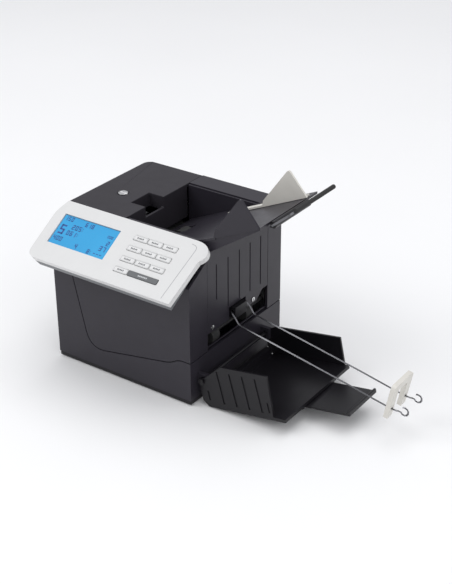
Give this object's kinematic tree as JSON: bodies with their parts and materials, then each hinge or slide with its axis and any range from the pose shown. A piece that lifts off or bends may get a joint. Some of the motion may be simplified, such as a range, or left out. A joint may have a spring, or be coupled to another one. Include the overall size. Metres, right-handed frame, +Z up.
{
  "type": "banknote counting machine",
  "caption": "Desktop banknote counter with sloping hopper, tilted display panel, side delivery slot, press-down wires and stacker tray",
  "frame": {"origin": "middle of the bounding box, on the surface the machine stands on", "axes": "+X towards the side that delivers the notes and carries the stacker tray, +Y from the control panel to the back, +Z up"},
  "size_m": [0.3274, 0.1618, 0.1885],
  "materials": {
    "charcoal_plastic": "fine satin moulded plastic",
    "black_plastic": "matte",
    "rubber": "matte",
    "bright_wire": "bright",
    "steel": "satin",
    "cream_plastic": "satin",
    "white_plastic": "satin gloss",
    "grey_plastic": "satin",
    "circuit_board": "satin",
    "display": "backlit blue",
    "pulley_plastic": "satin"
  },
  "bodies": {
    "machine": {"bottom_plate": "black_plastic", "rubber_foot_front_left": "rubber", "rubber_foot_rear_left": "rubber", "rubber_foot_front_right": "rubber", "rubber_foot_rear_right": "rubber", "base_shell": "charcoal_plastic", "upper_housing": "charcoal_plastic", "hopper_tray": "charcoal_plastic", "bail_clip": "black_plastic", "exit_cover": "charcoal_plastic", "exit_cover_screw_front": "bright_wire", "exit_cover_screw_rear": "bright_wire", "wire_holder": "black_plastic", "tray_pivot_pin": "black_plastic", "panel_bezel": "white_plastic", "panel_back": "grey_plastic", "lcd_display": "display", "panel_board": "circuit_board", "chassis_plate_front": "steel", "chassis_plate_rear": "steel", "drum_outer_guide": "black_plastic", "path_lower_guide": "black_plastic", "image_sensor_lower": "black_plastic", "image_sensor_upper": "black_plastic", "drive_motor": "steel", "drive_belt": "rubber", "feed_belt": "rubber", "main_board": "circuit_board", "power_inlet": "black_plastic"},
    "top_cover": {"top_cover": "charcoal_plastic", "retard_roller_holder": "steel", "retard_roller": "rubber"},
    "thickness_screw": {"thickness_screw": "bright_wire"},
    "rear_note_guide": {"rear_note_guide": "cream_plastic"},
    "note_support_bail": {"note_support_bail": "bright_wire"},
    "stacker_wire": {"stacker_wire": "bright_wire"},
    "note_stop": {"note_stop": "white_plastic"},
    "stacker_tray": {"stacker_tray": "charcoal_plastic"},
    "tray_extension": {"tray_extension": "black_plastic"},
    "power_switch": {"power_switch": "black_plastic"},
    "drum": {"transport_drum": "rubber", "drum_pulley": "pulley_plastic"},
    "pick_roller": {"pick_roller": "rubber", "pick_pulley": "pulley_plastic"},
    "exit_roller": {"exit_roller": "rubber", "exit_pulley": "pulley_plastic"},
    "exit_pinch_roller": {"exit_pinch_roller": "rubber"},
    "drum_pinch_roller": {"drum_pinch_roller": "rubber"},
    "motor_pulley": {"motor_pulley": "pulley_plastic"},
    "key_row1_1": {"key_row1_1": "white_plastic"},
    "key_row1_2": {"key_row1_2": "white_plastic"},
    "key_row1_3": {"key_row1_3": "white_plastic"},
    "key_row2_1": {"key_row2_1": "white_plastic"},
    "key_row2_2": {"key_row2_2": "white_plastic"},
    "key_row2_3": {"key_row2_3": "white_plastic"},
    "key_row3_1": {"key_row3_1": "white_plastic"},
    "key_row3_2": {"key_row3_2": "white_plastic"},
    "key_row3_3": {"key_row3_3": "white_plastic"},
    "key_row4_1": {"key_row4_1": "white_plastic"},
    "key_start": {"key_start": "grey_plastic"}
  },
  "joints": [
    {"name": "top_cover_lift", "type": "hinge", "parent": "machine", "child": "top_cover", "pos_m": [-0.15768, 0.01286, 0.1393], "axis": [0, -1, 0], "range_deg": [0, 75]},
    {"name": "thickness_turn", "type": "hinge", "parent": "top_cover", "child": "thickness_screw", "pos_m": [-0.13018, 0.01006, 0.143], "axis": [0, 0, 1], "range_deg": [-180, 180]},
    {"name": "rear_guide_slide", "type": "slide", "parent": "machine", "child": "rear_note_guide", "axis": [0, 1, 0], "range_m": [0, 0.0095]},
    {"name": "bail_fold", "type": "hinge", "parent": "machine", "child": "note_support_bail", "pos_m": [0.04092, 0.01286, 0.1666], "axis": [0, 1, 0], "range_deg": [0, 75]},
    {"name": "wire_lift", "type": "hinge", "parent": "machine", "child": "stacker_wire", "pos_m": [-0.00918, 0.01236, 0.066], "axis": [0, -1, 0], "range_deg": [0, 40]},
    {"name": "note_stop_slide", "type": "slide", "parent": "stacker_wire", "child": "note_stop", "axis": [0.9829, 0, -0.184], "range_m": [-0.09, 0]},
    {"name": "tray_tilt", "type": "hinge", "parent": "machine", "child": "stacker_tray", "pos_m": [-0.00518, 0.00386, 0.0234], "axis": [0, -1, 0], "range_deg": [0, 5]},
    {"name": "tray_extension_slide", "type": "slide", "parent": "stacker_tray", "child": "tray_extension", "axis": [0.9863, 0, 0.165], "range_m": [-0.032, 0]},
    {"name": "key_row1_1_press", "type": "slide", "parent": "machine", "child": "key_row1_1", "axis": [0, 0.5299, -0.848], "range_m": [0, 0.0005], "stiffness_N_per_m": 400},
    {"name": "key_row1_2_press", "type": "slide", "parent": "machine", "child": "key_row1_2", "axis": [0, 0.5299, -0.848], "range_m": [0, 0.0005], "stiffness_N_per_m": 400},
    {"name": "key_row1_3_press", "type": "slide", "parent": "machine", "child": "key_row1_3", "axis": [0, 0.5299, -0.848], "range_m": [0, 0.0005], "stiffness_N_per_m": 400},
    {"name": "key_row2_1_press", "type": "slide", "parent": "machine", "child": "key_row2_1", "axis": [0, 0.5299, -0.848], "range_m": [0, 0.0005], "stiffness_N_per_m": 400},
    {"name": "key_row2_2_press", "type": "slide", "parent": "machine", "child": "key_row2_2", "axis": [0, 0.5299, -0.848], "range_m": [0, 0.0005], "stiffness_N_per_m": 400},
    {"name": "key_row2_3_press", "type": "slide", "parent": "machine", "child": "key_row2_3", "axis": [0, 0.5299, -0.848], "range_m": [0, 0.0005], "stiffness_N_per_m": 400},
    {"name": "key_row3_1_press", "type": "slide", "parent": "machine", "child": "key_row3_1", "axis": [0, 0.5299, -0.848], "range_m": [0, 0.0005], "stiffness_N_per_m": 400},
    {"name": "key_row3_2_press", "type": "slide", "parent": "machine", "child": "key_row3_2", "axis": [0, 0.5299, -0.848], "range_m": [0, 0.0005], "stiffness_N_per_m": 400},
    {"name": "key_row3_3_press", "type": "slide", "parent": "machine", "child": "key_row3_3", "axis": [0, 0.5299, -0.848], "range_m": [0, 0.0005], "stiffness_N_per_m": 400},
    {"name": "key_row4_1_press", "type": "slide", "parent": "machine", "child": "key_row4_1", "axis": [0, 0.5299, -0.848], "range_m": [0, 0.0005], "stiffness_N_per_m": 400},
    {"name": "key_start_press", "type": "slide", "parent": "machine", "child": "key_start", "axis": [0, 0.5299, -0.848], "range_m": [0, 0.0005], "stiffness_N_per_m": 400},
    {"name": "power_switch_rock", "type": "hinge", "parent": "machine", "child": "power_switch", "pos_m": [-0.14268, 0.07637, 0.042], "axis": [1, 0, 0], "range_deg": [-6, 6]},
    {"name": "drum_spin", "type": "hinge", "parent": "machine", "child": "drum", "pos_m": [-0.10068, 0.01286, 0.082], "axis": [0, 1, 0], "continuous": true},
    {"name": "pick_spin", "type": "hinge", "parent": "machine", "child": "pick_roller", "pos_m": [-0.07348, 0.01286, 0.1095], "axis": [0, 1, 0], "continuous": true},
    {"name": "exit_spin", "type": "hinge", "parent": "machine", "child": "exit_roller", "pos_m": [-0.02068, 0.01286, 0.064], "axis": [0, 1, 0], "continuous": true},
    {"name": "exit_pinch_spin", "type": "hinge", "parent": "machine", "child": "exit_pinch_roller", "pos_m": [-0.02068, 0.01286, 0.0483], "axis": [0, 1, 0], "continuous": true},
    {"name": "drum_pinch_spin", "type": "hinge", "parent": "machine", "child": "drum_pinch_roller", "pos_m": [-0.13228, 0.01286, 0.082], "axis": [0, 1, 0], "continuous": true},
    {"name": "motor_spin", "type": "hinge", "parent": "machine", "child": "motor_pulley", "pos_m": [-0.05568, 0.01286, 0.028], "axis": [0, 1, 0], "continuous": true}
  ],
  "couplings": [
    {"joint": "pick_spin", "follows": "drum_spin", "ratio": 1.5},
    {"joint": "exit_spin", "follows": "drum_spin", "ratio": 3.3333},
    {"joint": "motor_spin", "follows": "drum_spin", "ratio": 2.5},
    {"joint": "exit_pinch_spin", "follows": "drum_spin", "ratio": -2.8444},
    {"joint": "drum_pinch_spin", "follows": "drum_spin", "ratio": -4.0323}
  ]
}
